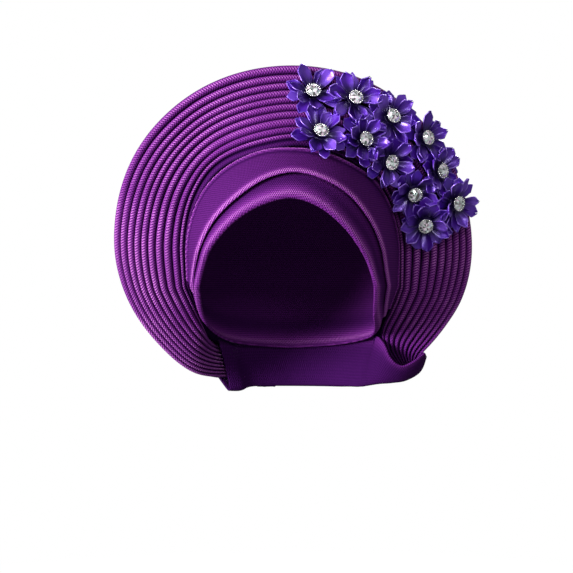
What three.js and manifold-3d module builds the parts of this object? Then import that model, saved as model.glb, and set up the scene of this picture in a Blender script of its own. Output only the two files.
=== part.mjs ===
// A tied gele head tie: a fitted cap, a folded band over its front edge, a stiff cloth folded into a
// fan of round pleats, a tail that wraps the nape and cups the pleat ends, and a spray of satin
// ribbon flowers with cut stones at their centres.
// Millimetres, +Z up. The wearer faces -Y, and the viewer's right is +X. The origin is the middle of
// the head hollow, at the height of the wearer's eyes.
import * as THREE from "three";
import { mergeVertices } from "three/addons/utils/BufferGeometryUtils.js";
import Module from "manifold-3d";

const wasm = await Module();
wasm.setup();

// Driving dimensions
const GAP = 0.4; // clearance that two neighbouring pieces keep
const CAP_WALL = 1.5;
const BAND_WALL = 1.5;
const WRAP_WALL = 1.6;
const PETAL_WALL = 1.0;

// The head hollow: the widest level, with a dome above it and narrower sections down to the nape.
const WIDEST_Z = 25;
const CROWN_RISE = 93;
const HEAD_SECTIONS = [
  { z: 25, halfWidth: 78, centreY: 4, halfLength: 98 },
  { z: 0, halfWidth: 77, centreY: 6, halfLength: 96 },
  { z: -28, halfWidth: 67, centreY: 14, halfLength: 84 },
  { z: -50, halfWidth: 59, centreY: 20, halfLength: 70 },
  { z: -80, halfWidth: 53, centreY: 15, halfLength: 54 },
];

// The cap's edge by azimuth round the head: 0 is the brow, 90 the viewer's right, 180 the nape.
const CAP_COLUMNS = 40;
const CAP_ROWS = 6;
const CAP_EDGE = [
  { azimuth: -180, z: -50 },
  { azimuth: -150, z: -48 },
  { azimuth: -122, z: -43 },
  { azimuth: -96, z: -31 },
  { azimuth: -76, z: -15 },
  { azimuth: -64, z: 2 },
  { azimuth: -54, z: 22 },
  { azimuth: -44, z: 36 },
  { azimuth: -31, z: 50 },
  { azimuth: -16, z: 60 },
  { azimuth: 0, z: 64 },
  { azimuth: 15, z: 58 },
  { azimuth: 28, z: 45 },
  { azimuth: 38, z: 30 },
  { azimuth: 47, z: 14 },
  { azimuth: 55, z: -6 },
  { azimuth: 66, z: -25 },
  { azimuth: 90, z: -37 },
  { azimuth: 122, z: -44 },
  { azimuth: 150, z: -48 },
  { azimuth: 180, z: -50 },
];

// The front band lies on the cap from temple to temple, and its lower edge stands off the cap.
const BAND_COLUMNS = 26;
const BAND_ROWS = 2;
const BAND_LIFT = 0.7;
const BAND_STAND_OFF = 3.2;
const BAND_EDGES = [
  { lowAzimuth: -72, lowZ: -6, highAzimuth: -78, highZ: 6 },
  { lowAzimuth: -66, lowZ: 10, highAzimuth: -76, highZ: 32 },
  { lowAzimuth: -57, lowZ: 28, highAzimuth: -73, highZ: 52 },
  { lowAzimuth: -46, lowZ: 47, highAzimuth: -67, highZ: 71 },
  { lowAzimuth: -32, lowZ: 63, highAzimuth: -51, highZ: 87 },
  { lowAzimuth: -17, lowZ: 75, highAzimuth: -27, highZ: 97 },
  { lowAzimuth: 0, lowZ: 80, highAzimuth: 0, highZ: 99 },
  { lowAzimuth: 17, lowZ: 76, highAzimuth: 27, highZ: 96 },
  { lowAzimuth: 33, lowZ: 65, highAzimuth: 50, highZ: 87 },
  { lowAzimuth: 45, lowZ: 47, highAzimuth: 67, highZ: 75 },
  { lowAzimuth: 53, lowZ: 28, highAzimuth: 78, highZ: 54 },
  { lowAzimuth: 60, lowZ: 6, highAzimuth: 84, highZ: 28 },
  { lowAzimuth: 69, lowZ: -14, highAzimuth: 86, highZ: 2 },
  { lowAzimuth: 80, lowZ: -24, highAzimuth: 87, highZ: -16 },
];

// The pleated fan in sections from the left tuck, over the top, to the right tuck. Its inner edge
// lies on the head by azimuth and height, standing clear of the hollow's wall. Its rim is placed by
// an angle and a radius about the fan's centre in the front view, with y its depth. bow is how far
// the middle of a section stands forward of a straight line.
const PLEATS = 10;
const FAN_STEPS = 32;
const FAN_CENTRE = { x: 1.5, z: 32 };
const FAN_SECTIONS = [
  { azimuth: -127, z: -46, clear: 15, angle: 243, radius: 118, y: 68, bow: 0 },
  { azimuth: -100, z: -34, clear: 4, angle: 232, radius: 127, y: 44, bow: 2 },
  { azimuth: -91, z: -19, clear: 3, angle: 215, radius: 131, y: 34, bow: 4 },
  { azimuth: -86, z: -3, clear: 3, angle: 198, radius: 136, y: 27, bow: 5 },
  { azimuth: -81, z: 16, clear: 3, angle: 184, radius: 139, y: 21, bow: 6 },
  { azimuth: -78, z: 36, clear: 3.2, angle: 170, radius: 140, y: 14, bow: 6 },
  { azimuth: -75, z: 66, clear: 3.4, angle: 150, radius: 141, y: 2, bow: 3 },
  { azimuth: -56, z: 88, clear: 4.5, angle: 125, radius: 139, y: -12, bow: -2 },
  { azimuth: -5, z: 100, clear: 5.6, angle: 95, radius: 136, y: -20, bow: -3 },
  { azimuth: 30, z: 97, clear: 5.6, angle: 68, radius: 136, y: -18, bow: -3 },
  { azimuth: 60, z: 83, clear: 4.5, angle: 40, radius: 136, y: -8, bow: 0 },
  { azimuth: 79, z: 58, clear: 3.6, angle: 15, radius: 137, y: 6, bow: 4 },
  { azimuth: 86, z: 28, clear: 4, angle: -5, radius: 138, y: 14, bow: 5 },
  { azimuth: 88, z: 4, clear: 5, angle: -17, radius: 137, y: 18, bow: 4 },
  { azimuth: 91, z: -13, clear: 6, angle: -27, radius: 134, y: 21, bow: 3 },
  { azimuth: 95, z: -32, clear: 5, angle: -35, radius: 132, y: 23, bow: 2 },
  { azimuth: 94, z: -42, clear: 8.5, angle: -40, radius: 131, y: 25, bow: 1 },
  { azimuth: 96, z: -57, clear: 21, angle: -43, radius: 132, y: 27, bow: 0 },
];

// One pleat across its pitch: share runs from -0.5 to 0.5 of the pitch, and rise is the height of
// the cloth's face there, as a share of the pleat's depth.
const PLEAT_DEPTH = 6.4;
const PLEAT_DEPTH_AT_TUCK = 4.6;
const PLEAT_FACE = [
  { share: -0.5, rise: -0.56 },
  { share: -0.38, rise: 0.24 },
  { share: 0, rise: 0.44 },
  { share: 0.38, rise: 0.24 },
];
const PLEAT_REVERSE = [
  { share: -0.33, rise: -0.76 },
  { share: 0, rise: 0.2 },
  { share: 0.33, rise: -0.76 },
];
const FIRST_PLEAT = { depth: 0.5, within: 0.12 }; // the pleats are shallow beside the inner edge
const SELVEDGE = { face: -0.1, reverse: -0.32 }; // the fan's two long edges, as shares of the depth

// The nape wrap: the top of its front wall, its fold, and the top of the flap behind the pleat ends.
const WRAP_STEPS = 20;
const WRAP_ROWS = 6;
const WRAP_BELLY = { down: 0.55, out: 0.06 }; // where the front wall swells, and how much
const WRAP_SECTIONS = [
  { front: [103, 18, -51], fold: [106, 26, -58], flap: [104, 37, -50] },
  { front: [95, 15, -57], fold: [99, 26, -67], flap: [97, 40, -52] },
  { front: [85, 14, -61], fold: [89, 26, -72], flap: [87, 41, -54] },
  { front: [77, 13, -55], fold: [78, 27, -74], flap: [78, 43, -58] },
  { front: [72.5, 15, -45], fold: [68, 32, -75], flap: [70, 48, -63] },
  { front: [68, 26, -39], fold: [59, 42, -77], flap: [61, 53, -71] },
  { front: [65, 51, -38], fold: [51, 55, -79], flap: [51, 58, -77] },
  { front: [40, 86, -38], fold: [31, 75, -79], flap: [31, 77, -77.5] },
  { front: [0, 100.4, -38], fold: [0, 82, -79], flap: [0, 84, -77.5] },
  { front: [-40, 86, -38], fold: [-31, 75, -79], flap: [-31, 77, -77.5] },
  { front: [-54, 70, -37], fold: [-41, 66, -82], flap: [-58, 86, -63] },
  { front: [-60, 60, -36], fold: [-50, 62, -82], flap: [-70, 78, -60] },
];

// Satin flowers: where each sits on the fan in the front view, and how it leans to the right and
// upwards, in degrees.
const FLOWERS = [
  { x: 15, z: 142.5, right: 0, up: 0 },
  { x: 45, z: 138.5, right: 4, up: 0 },
  { x: 72, z: 125.5, right: 6, up: 4 },
  { x: 96.5, z: 111, right: 16, up: 4 },
  { x: 107, z: 88, right: 24, up: 0 },
  { x: 120, z: 64.5, right: 20, up: -4 },
  { x: 19.5, z: 111, right: 0, up: -4 },
  { x: 51, z: 108, right: 0, up: -4 },
  { x: 70, z: 94, right: 2, up: -6 },
  { x: 90.5, z: 73.5, right: -6, up: -12 },
  { x: 100, z: 50, right: -4, up: -12 },
];
// A flower with a near neighbour has shorter petals, and each is turned so that its petals clear the
// flowers before it. The two tiers repeat every quarter turn.
const FLOWER_REACH = { fullAt: 30, least: 0.84 };
const FLOWER_TURNS = [0, 10, 20, 30, 40, 50, 60, 70, 80];
const FLOWER_SPAN = 44; // flowers with their middles further apart than this can't meet
const FLOWER_PAD = { radius: 6.4, height: 2.6, sides: 10 };
const PETALS = 8;
const PETAL_LENGTH = 14;
const PETAL_START = 4.4;
// Half widths and heights along a petal, from its root to its tip.
const PETAL_ROWS = [
  { along: 0, halfWidth: 2.4, height: 0.6 },
  { along: 0.58, halfWidth: 6, height: 2.6 },
  { along: 1, halfWidth: 1.2, height: 6.2 },
];
const PETAL_CUP = 2.2; // how far a petal's long edges curl up over its middle
const UPPER_PETALS = { lift: 1.2, steepen: 1.5, shorten: 0.92 };

// Cut stones in pressed cups: the profile from the axis under the cup to the stone's table.
const STONE_SIDES = 10;
const STONE_SEAT = 3.4; // the cup's height over the fan side of its flower
const STONE_PROFILE = [
  { radius: 0, height: 0 },
  { radius: 4.4, height: 0 },
  { radius: 5.8, height: 2.6 },
  { radius: 5.1, height: 3 },
  { radius: 2.9, height: 4.8 },
  { radius: 0, height: 4.8 },
];

// Working steps: a small share of a surface, the search for a flower's seat, and the points that a
// facet's edge is split into where a flower rests.
const STEP = 1e-3;
const SEAT_ROUNDS = 40;
const SEAT_STRIDE = 0.06;
const POINTS_PER_EDGE = 8;

const CLOTH = new THREE.MeshStandardMaterial({ color: 0x6f2a86, roughness: 0.62, metalness: 0 });
const SATIN = new THREE.MeshStandardMaterial({ color: 0x4a1f9a, roughness: 0.3, metalness: 0 });
const CRYSTAL = new THREE.MeshStandardMaterial({ color: 0xdde2e2, roughness: 0.08, metalness: 0.4 });

// Straight interpolation of the named columns of a table at a value of its key column.
function lookUp(table, key, value, column) {
  const rising = table[table.length - 1][key] > table[0][key];
  const after = table.findIndex((row) => (rising ? row[key] >= value : row[key] <= value));
  if (after === 0) return table[0][column];
  if (after < 0) return table[table.length - 1][column];
  const [a, b] = [table[after - 1], table[after]];
  return THREE.MathUtils.mapLinear(value, a[key], b[key], a[column], b[column]);
}

// A smooth value through evenly spaced numbers, with share running from 0 to 1.
function smooth(values, share) {
  const spans = values.length - 1;
  const i = Math.min(Math.floor(share * spans), spans - 1);
  const f = share * spans - i;
  const at = (k) => values[THREE.MathUtils.clamp(k, 0, spans)];
  const [p0, p1, p2, p3] = [at(i - 1), at(i), at(i + 1), at(i + 2)];
  const linear = (p2 - p0) * f;
  const square = (2 * p0 - 5 * p1 + 4 * p2 - p3) * f * f;
  const cube = (3 * p1 - p0 - 3 * p2 + p3) * f * f * f;
  return p1 + (linear + square + cube) / 2;
}

function smoothRow(table, share) {
  const row = {};
  for (const column of Object.keys(table[0])) {
    row[column] = smooth(table.map((r) => r[column]), share);
  }
  return row;
}

// A closed mesh from corner points and triangles, with coincident corners merged and slivers left out.
function closedGeometry(points, triangles) {
  const flat = new THREE.BufferGeometry();
  flat.setAttribute("position", new THREE.Float32BufferAttribute(points.flatMap((p) => p.toArray()), 3));
  flat.setIndex(triangles.flat());
  const merged = mergeVertices(flat, 1e-3);
  const index = merged.index.array;
  const kept = [];
  for (let i = 0; i < index.length; i += 3) {
    const [a, b, c] = index.slice(i, i + 3);
    if (a !== b && b !== c && c !== a) kept.push(a, b, c);
  }
  merged.setIndex(kept);
  return merged;
}

// A cloth wall on a grid. place(u, v, side) gives its two faces: side 1 is the outer one. A wall
// that is round in u joins its last column to its first.
function clothWall(columns, rows, roundInU, place) {
  const points = [];
  const across = roundInU ? columns : columns + 1;
  for (const side of [1, 0]) {
    for (let i = 0; i < across; i++) {
      for (let j = 0; j <= rows; j++) points.push(place(i / columns, j / rows, side));
    }
  }
  const face = across * (rows + 1);
  const at = (i, j, side) => (1 - side) * face + (i % across) * (rows + 1) + j;
  const triangles = [];
  const quad = (a, b, c, d) => triangles.push([a, b, c], [a, c, d]);
  for (let i = 0; i < columns; i++) {
    for (let j = 0; j < rows; j++) {
      quad(at(i, j, 1), at(i + 1, j, 1), at(i + 1, j + 1, 1), at(i, j + 1, 1));
      quad(at(i, j, 0), at(i, j + 1, 0), at(i + 1, j + 1, 0), at(i + 1, j, 0));
    }
    quad(at(i, 0, 0), at(i + 1, 0, 0), at(i + 1, 0, 1), at(i, 0, 1));
    quad(at(i, rows, 1), at(i + 1, rows, 1), at(i + 1, rows, 0), at(i, rows, 0));
  }
  for (let j = 0; j < rows && !roundInU; j++) {
    quad(at(0, j, 1), at(0, j + 1, 1), at(0, j + 1, 0), at(0, j, 0));
    quad(at(columns, j, 0), at(columns, j + 1, 0), at(columns, j + 1, 1), at(columns, j, 1));
  }
  return closedGeometry(points, triangles);
}

// A point of the head hollow's wall, moved outwards by offset. climb is the length up the wall from
// the widest level: negative below it, and along the dome above it.
const CLIMB_TO_CROWN = (CROWN_RISE * Math.PI) / 2;
function headPoint(azimuth, climb, offset) {
  const dome = Math.max(climb, 0) / CROWN_RISE;
  const z = climb > 0 ? WIDEST_Z + (CROWN_RISE + offset) * Math.sin(dome) : WIDEST_Z + climb;
  const size = (column) => lookUp(HEAD_SECTIONS, "z", Math.min(z, WIDEST_Z), column);
  const a = THREE.MathUtils.degToRad(azimuth);
  return new THREE.Vector3(
    (size("halfWidth") + offset) * Math.cos(dome) * Math.sin(a),
    size("centreY") - (size("halfLength") + offset) * Math.cos(dome) * Math.cos(a),
    z,
  );
}

function climbTo(z) {
  if (z < WIDEST_Z) return z - WIDEST_Z;
  return CROWN_RISE * Math.asin((z - WIDEST_Z) / CROWN_RISE);
}

function capGeometry() {
  return clothWall(CAP_COLUMNS, CAP_ROWS, true, (u, v, side) => {
    const { azimuth, z } = smoothRow(CAP_EDGE, u);
    const climb = THREE.MathUtils.lerp(climbTo(z), CLIMB_TO_CROWN, v);
    return headPoint(azimuth, climb, side * CAP_WALL);
  });
}

function frontBandGeometry() {
  return clothWall(BAND_COLUMNS, BAND_ROWS, false, (u, v, side) => {
    const { lowAzimuth, lowZ, highAzimuth, highZ } = smoothRow(BAND_EDGES, u);
    const azimuth = THREE.MathUtils.lerp(lowAzimuth, highAzimuth, v);
    const climb = THREE.MathUtils.lerp(climbTo(lowZ), climbTo(highZ), v);
    const standOff = BAND_STAND_OFF * Math.sin(Math.PI * u) * (1 - v) ** 2;
    return headPoint(azimuth, climb, CAP_WALL + BAND_LIFT + standOff + side * BAND_WALL);
  });
}

// The fan's mean surface, with along from the left tuck to the right one, across from the inner edge
// to the rim, and the way that its face looks.
function fanSurface(along, across) {
  const row = smoothRow(FAN_SECTIONS, along);
  const angle = THREE.MathUtils.degToRad(row.angle);
  const rim = new THREE.Vector3(
    FAN_CENTRE.x + row.radius * Math.cos(angle), row.y, FAN_CENTRE.z + row.radius * Math.sin(angle),
  );
  const point = headPoint(row.azimuth, climbTo(row.z), row.clear).lerp(rim, across);
  point.y -= row.bow * 4 * across * (1 - across);
  return point;
}

function fanFacing(along, across) {
  const a = THREE.MathUtils.clamp(along, STEP, 1 - STEP);
  const ahead = fanSurface(a + STEP, across).sub(fanSurface(a - STEP, across));
  const outwards = fanSurface(a, across + STEP).sub(fanSurface(a, across - STEP));
  return ahead.cross(outwards).normalize();
}

// The outline of the folded cloth over all the pleats, face first and then its reverse, as
// { across, rise } with across from 0 to 1.
function pleatOutline() {
  const lay = (rows, pleat) =>
    rows.map(({ share, rise }) => ({ across: (pleat + 0.5 + share) / PLEATS, rise }));
  const face = [];
  const reverse = [];
  for (let pleat = 0; pleat < PLEATS; pleat++) {
    face.push(...lay(PLEAT_FACE, pleat));
    reverse.push(...lay(PLEAT_REVERSE, pleat));
  }
  for (const corner of [...face, ...reverse]) {
    const inwards = Math.min(corner.across / FIRST_PLEAT.within, 1);
    corner.rise *= THREE.MathUtils.lerp(FIRST_PLEAT.depth, 1, inwards);
  }
  face[0].rise = SELVEDGE.face;
  face.push({ across: 1, rise: SELVEDGE.face });
  reverse.unshift({ across: 0, rise: SELVEDGE.reverse });
  reverse.push({ across: 1, rise: SELVEDGE.reverse });
  return [...face, ...reverse.reverse()];
}

function pleatedFanGeometry() {
  const outline = pleatOutline();
  const points = [];
  for (let i = 0; i <= FAN_STEPS; i++) {
    const along = i / FAN_STEPS;
    const open = Math.sqrt(Math.sin(Math.PI * along));
    const depth = THREE.MathUtils.lerp(PLEAT_DEPTH_AT_TUCK, PLEAT_DEPTH, open);
    for (const { across, rise } of outline) {
      points.push(fanSurface(along, across).addScaledVector(fanFacing(along, across), rise * depth));
    }
  }
  const ring = outline.length;
  const triangles = [];
  for (let i = 0; i < FAN_STEPS; i++) {
    for (let j = 0; j < ring; j++) {
      const [a, b] = [i * ring + j, i * ring + ((j + 1) % ring)];
      triangles.push([a, a + ring, b + ring], [a, b + ring, b]);
    }
  }
  const flat = outline.map(({ across, rise }) => new THREE.Vector2(across * PLEATS, rise));
  const last = FAN_STEPS * ring;
  for (const [a, b, c] of THREE.ShapeUtils.triangulateShape(flat, [])) {
    const turn = THREE.ShapeUtils.area([flat[a], flat[b], flat[c]]) > 0;
    const [p, q] = turn === THREE.ShapeUtils.area(flat) > 0 ? [b, c] : [c, b];
    triangles.push([a, p, q], [last + a, last + q, last + p]);
  }
  return closedGeometry(points, triangles);
}

// The wrap's section runs down its front wall, round its fold and up its flap, and its wall is
// thickened towards the hollow of that fold.
function napeWrapGeometry() {
  const corner = (name, u) =>
    new THREE.Vector3(...[0, 1, 2].map((k) => smooth(WRAP_SECTIONS.map((row) => row[name][k]), u)));
  const section = (u) => {
    const [front, fold, flap] = ["front", "fold", "flap"].map((name) => corner(name, u));
    const belly = front.clone().lerp(fold, WRAP_BELLY.down)
      .addScaledVector(fold.clone().sub(flap), WRAP_BELLY.out);
    const behind = fold.clone().lerp(flap, 0.5);
    return new THREE.CatmullRomCurve3([front, belly, fold, behind, flap], false, "centripetal");
  };
  return clothWall(WRAP_STEPS, WRAP_ROWS, false, (u, v, side) => {
    const at = THREE.MathUtils.clamp(u, STEP, 1 - STEP);
    const down = section(u).getTangent(THREE.MathUtils.clamp(v, STEP, 1 - STEP));
    const ahead = section(at + STEP).getPoint(v).sub(section(at - STEP).getPoint(v));
    const outwards = ahead.cross(down).normalize();
    return section(u).getPoint(v).addScaledVector(outwards, side * WRAP_WALL);
  });
}

function solidOf(geometry) {
  const bare = geometry.clone();
  bare.deleteAttribute("normal");
  bare.deleteAttribute("uv");
  const merged = mergeVertices(bare, 1e-4);
  return new wasm.Manifold(new wasm.Mesh({
    numProp: 3,
    vertProperties: merged.attributes.position.array,
    triVerts: new Uint32Array(merged.index.array),
  }));
}

function geometryOf(solid) {
  const mesh = solid.getMesh();
  const geometry = new THREE.BufferGeometry();
  geometry.setAttribute("position", new THREE.BufferAttribute(mesh.vertProperties, 3));
  geometry.setIndex(new THREE.BufferAttribute(mesh.triVerts, 1));
  geometry.computeVertexNormals();
  return geometry;
}

// One cupped petal along +X from the flower's axis, with +Z out of the flower.
function petalGeometry(upper, reach) {
  const steepen = upper ? UPPER_PETALS.steepen : 1;
  const length = PETAL_LENGTH * reach * (upper ? UPPER_PETALS.shorten : 1);
  const rows = PETAL_ROWS.length - 1;
  return clothWall(rows, 2, false, (u, v, side) => {
    const { along, halfWidth, height } = PETAL_ROWS[Math.round(u * rows)];
    const sideways = 2 * v - 1;
    const curl = PETAL_CUP * (halfWidth / PETAL_ROWS[1].halfWidth) * sideways ** 2;
    const base = upper ? UPPER_PETALS.lift : 0;
    return new THREE.Vector3(
      PETAL_START + length * along,
      halfWidth * sideways,
      base + height * steepen + curl + side * PETAL_WALL,
    );
  });
}

// Eight petals in two tiers, fused to a round pad.
function flowerGeometry(reach) {
  const { radius, height, sides } = FLOWER_PAD;
  const pad = new THREE.CylinderGeometry(radius, radius, height, sides);
  pad.rotateX(Math.PI / 2).translate(0, 0, height / 2);
  let flower = solidOf(pad);
  for (let k = 0; k < PETALS; k++) {
    const petal = petalGeometry(k % 2 === 1, reach).rotateZ((2 * Math.PI * k) / PETALS);
    flower = flower.add(solidOf(petal));
  }
  return geometryOf(flower);
}

// A cut stone with a flat table, in its pressed cup.
function stoneGeometry() {
  const profile = STONE_PROFILE.map(({ radius, height }) => new THREE.Vector2(radius, height));
  return geometryOf(solidOf(new THREE.LatheGeometry(profile, STONE_SIDES).rotateX(Math.PI / 2)));
}

// The place on the fan that lies at x and z in the front view, found by stepping towards it.
function fanSeat(x, z) {
  let [along, across] = [0.6, 0.5];
  for (let round = 0; round < SEAT_ROUNDS; round++) {
    const here = fanSurface(along, across);
    const dAlong = fanSurface(along + STEP, across).sub(here).divideScalar(STEP);
    const dAcross = fanSurface(along, across + STEP).sub(here).divideScalar(STEP);
    const [ex, ez] = [x - here.x, z - here.z];
    const det = dAlong.x * dAcross.z - dAlong.z * dAcross.x;
    const stride = (value) => THREE.MathUtils.clamp(value, -SEAT_STRIDE, SEAT_STRIDE);
    along += stride((ex * dAcross.z - ez * dAcross.x) / det);
    across += stride((dAlong.x * ez - dAlong.z * ex) / det);
  }
  return { along, across };
}

// How far a flower with this middle and facing has to stand off so that its pad and its lower petals
// rest on the highest crest.
function restOnCrests(middle, facing, fanPoints) {
  let highest = -Infinity;
  for (const point of fanPoints) {
    const away = point.clone().sub(middle);
    const rise = away.dot(facing);
    const aside = away.addScaledVector(facing, -rise).length();
    const along = (aside - PETAL_START) / PETAL_LENGTH;
    if (along > 1 || rise > PLEAT_DEPTH) continue;
    const underside = aside < FLOWER_PAD.radius ? 0 : lookUp(PETAL_ROWS, "along", along, "height");
    highest = Math.max(highest, rise - underside);
  }
  return highest + GAP;
}

// Fine points over the faceted fan's face, to rest the flowers on.
function pointsOf(geometry, perEdge) {
  const corners = geometry.getAttribute("position");
  const index = geometry.index.array;
  const points = [];
  for (let i = 0; i < index.length; i += 3) {
    const [a, b, c] = [0, 1, 2].map((k) => new THREE.Vector3().fromBufferAttribute(corners, index[i + k]));
    for (let p = 0; p <= perEdge; p++) {
      for (let q = 0; q <= perEdge - p; q++) {
        const [wa, wb] = [p / perEdge, q / perEdge];
        points.push(a.clone().multiplyScalar(wa).addScaledVector(b, wb).addScaledVector(c, 1 - wa - wb));
      }
    }
  }
  return points;
}

function addPiece(group, name, geometry, material) {
  const mesh = new THREE.Mesh(geometry, material);
  mesh.name = name;
  group.add(mesh);
}

// A flower's place on the fan: on the crests at x and z in the front view, leaning as asked.
function flowerPlace({ x, z, right, up }, fanPoints) {
  const { along, across } = fanSeat(x, z);
  const facing = fanFacing(along, across);
  facing.x += Math.tan(THREE.MathUtils.degToRad(right));
  facing.z += Math.tan(THREE.MathUtils.degToRad(up));
  facing.normalize();
  const middle = fanSurface(along, across);
  const place = new THREE.Object3D();
  place.position.copy(middle).addScaledVector(facing, restOnCrests(middle, facing, fanPoints));
  place.quaternion.setFromUnitVectors(new THREE.Vector3(0, 0, 1), facing);
  return place;
}

// Turns each flower to the first angle at which it clears the ones before it, and goes back to turn an
// earlier one further where a later one finds no room.
function turnFlowers(seats, k = 0) {
  if (k === seats.length) return true;
  const seat = seats[k];
  const near = seats.slice(0, k)
    .filter((other) => other.place.position.distanceTo(seat.place.position) < FLOWER_SPAN);
  for (const degrees of FLOWER_TURNS) {
    seat.turned = seat.place.clone().rotateZ(THREE.MathUtils.degToRad(degrees));
    seat.turned.updateMatrix();
    seat.solid = solidOf(seat.whole.clone().applyMatrix4(seat.turned.matrix));
    const clear = near.every((other) => seat.solid.intersect(other.solid).isEmpty());
    if (clear && turnFlowers(seats, k + 1)) return true;
  }
  return false;
}

function addFlowers(group, fan) {
  const fanPoints = pointsOf(fan, POINTS_PER_EDGE).filter((p) => p.x > 0 && p.z > 0);
  const stone = stoneGeometry().translate(0, 0, STONE_SEAT + GAP);
  const places = FLOWERS.map((row) => flowerPlace(row, fanPoints));
  const seats = places.map((place) => {
    const away = places.filter((other) => other !== place)
      .map((other) => other.position.distanceTo(place.position));
    const { fullAt, least } = FLOWER_REACH;
    const flower = flowerGeometry(THREE.MathUtils.clamp(Math.min(...away) / fullAt, least, 1));
    return { place, flower, whole: geometryOf(solidOf(flower).add(solidOf(stone))) };
  });
  if (!turnFlowers(seats)) throw new Error("the flowers stand too close");
  seats.forEach(({ flower, turned }, k) => {
    const spray = new THREE.Group();
    spray.position.copy(turned.position);
    spray.quaternion.copy(turned.quaternion);
    const number = String(k + 1).padStart(2, "0");
    addPiece(spray, `flower_${number}`, flower, SATIN);
    addPiece(spray, `stone_${number}`, stone.clone(), CRYSTAL);
    group.add(spray);
  });
}

const gele = new THREE.Group();
const fan = pleatedFanGeometry();
addPiece(gele, "cap", capGeometry(), CLOTH);
addPiece(gele, "front_band", frontBandGeometry(), CLOTH);
addPiece(gele, "pleated_fan", fan, CLOTH);
addPiece(gele, "nape_wrap", napeWrapGeometry(), CLOTH);
addFlowers(gele, fan);

export default gele;
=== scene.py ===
"""A tied gele head tie: purple woven cloth in a fan of rope-like pleats, a cap, a folded brow band and
a nape wrap, with a spray of satin ribbon flowers that hold cut stones in beaded cups.
Shapes are worked out in millimetres in the frame of the solids and written to the meshes in metres."""

import math
import random

import bmesh
import bpy
import numpy as np
from mathutils import Matrix, Vector, noise


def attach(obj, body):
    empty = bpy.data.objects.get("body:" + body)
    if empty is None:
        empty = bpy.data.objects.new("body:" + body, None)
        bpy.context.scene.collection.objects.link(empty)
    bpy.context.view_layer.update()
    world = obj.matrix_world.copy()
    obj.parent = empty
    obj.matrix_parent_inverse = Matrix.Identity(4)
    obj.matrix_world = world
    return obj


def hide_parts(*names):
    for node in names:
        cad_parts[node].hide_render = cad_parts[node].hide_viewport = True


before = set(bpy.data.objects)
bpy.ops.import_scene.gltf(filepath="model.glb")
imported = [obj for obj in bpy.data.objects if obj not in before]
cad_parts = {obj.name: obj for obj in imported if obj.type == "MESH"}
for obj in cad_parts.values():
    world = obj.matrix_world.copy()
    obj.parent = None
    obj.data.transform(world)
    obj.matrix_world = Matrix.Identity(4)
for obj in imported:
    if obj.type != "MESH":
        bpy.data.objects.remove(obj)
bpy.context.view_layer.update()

MM = 0.001
SAME_PLACE = 1e-3  # millimetres within which two points are one

# The head hollow: the widest level, the dome above it and the sections below, as in the solids.
WIDEST_Z = 25
WIDEST_RADIUS = 88  # mean radius there, by which the weave is laid round the head
CROWN_RISE = 93
HEAD_SECTIONS = [  # z, half width, centre y, half length
    (-80, 53, 15, 54),
    (-50, 59, 20, 70),
    (-28, 67, 14, 84),
    (0, 77, 6, 96),
    (25, 78, 4, 98),
]
CAP_WALL = 1.5
BAND_WALL = 1.5
WRAP_WALL = 1.6
FAN_WALL = 1.0
PETAL_WALL = 0.7

# The cap's edge by azimuth round the head: 0 is the brow, 90 the viewer's right, 180 the nape.
CAP_GRID = (220, 64)
CAP_CROWDING = 1.6  # above 1, the grid's rows crowd towards the edge
CAP_EDGE = [  # azimuth, z
    (-180, -50), (-150, -48), (-122, -43), (-96, -31), (-76, -15), (-64, 2), (-54, 22),
    (-44, 36), (-31, 50), (-16, 60), (0, 64), (15, 58), (28, 45), (38, 30),
    (47, 14), (55, -6), (66, -25), (90, -37), (122, -44), (150, -48), (180, -50),
]
CAP_HEM = {"tuck": 2.2, "roll": 5.0, "puff": 1.3, "fade": 17.0}

# The front band, from temple to temple over the cap.
BAND_GRID = (180, 34)
BAND_LIFT = 0.7
BAND_STAND_OFF = 3.2
BAND_EDGES = [  # azimuth and z of the lower edge, azimuth and z of the upper edge
    (-72, -6, -78, 6), (-66, 10, -76, 32), (-57, 28, -73, 52), (-46, 47, -67, 71),
    (-32, 63, -51, 87), (-17, 75, -27, 97), (0, 80, 0, 99), (17, 76, 27, 96),
    (33, 65, 50, 87), (45, 47, 67, 75), (53, 28, 78, 54), (60, 6, 84, 28),
    (69, -14, 86, 2), (80, -24, 87, -16),
]
BAND_FOLD = {"drop": 1.5, "within": 2.6}
BAND_PIPING = {"height": 1.5, "half_width": 1.3, "inset": 1.2}

# The fan from the left tuck, over the top, to the right tuck.
FAN_COLUMNS = 330
FAN_CENTRE = (1.5, 32)
FAN_SECTIONS = [  # azimuth, z, clear of the inner edge; angle, radius, y of the rim; bow
    (-134, -47, 15, 250, 113, 71.5, 0),
    (-127, -46, 15, 243, 118, 68, 0),
    (-100, -34, 4, 232, 127, 44, 2),
    (-91, -19, 3, 215, 131, 34, 4),
    (-86, -3, 3, 198, 136, 27, 5),
    (-81, 16, 3, 184, 139, 21, 6),
    (-78, 36, 3.2, 170, 140, 14, 6),
    (-75, 66, 3.4, 150, 141, 2, 3),
    (-56, 88, 4.5, 125, 139, -12, -2),
    (-5, 100, 5.6, 95, 136, -20, -3),
    (30, 97, 5.6, 68, 136, -18, -3),
    (60, 83, 4.5, 40, 136, -8, 0),
    (79, 58, 3.6, 15, 137, 6, 4),
    (86, 28, 4, -5, 138, 14, 5),
    (88, 4, 5, -17, 137, 18, 4),
    (91, -13, 6, -27, 134, 21, 3),
    (95, -32, 5, -35, 132, 23, 2),
    (94, -42, 8.5, -40, 131, 25, 1),
    (96, -57, 21, -43, 132, 27, 0),
    (96, -66, 31, -45.5, 136, 28, 0),
]
PLEAT_DEPTH = 6.4
PLEAT_DEPTH_AT_TUCK = 4.6
PLEAT_STEPS = 10
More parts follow.
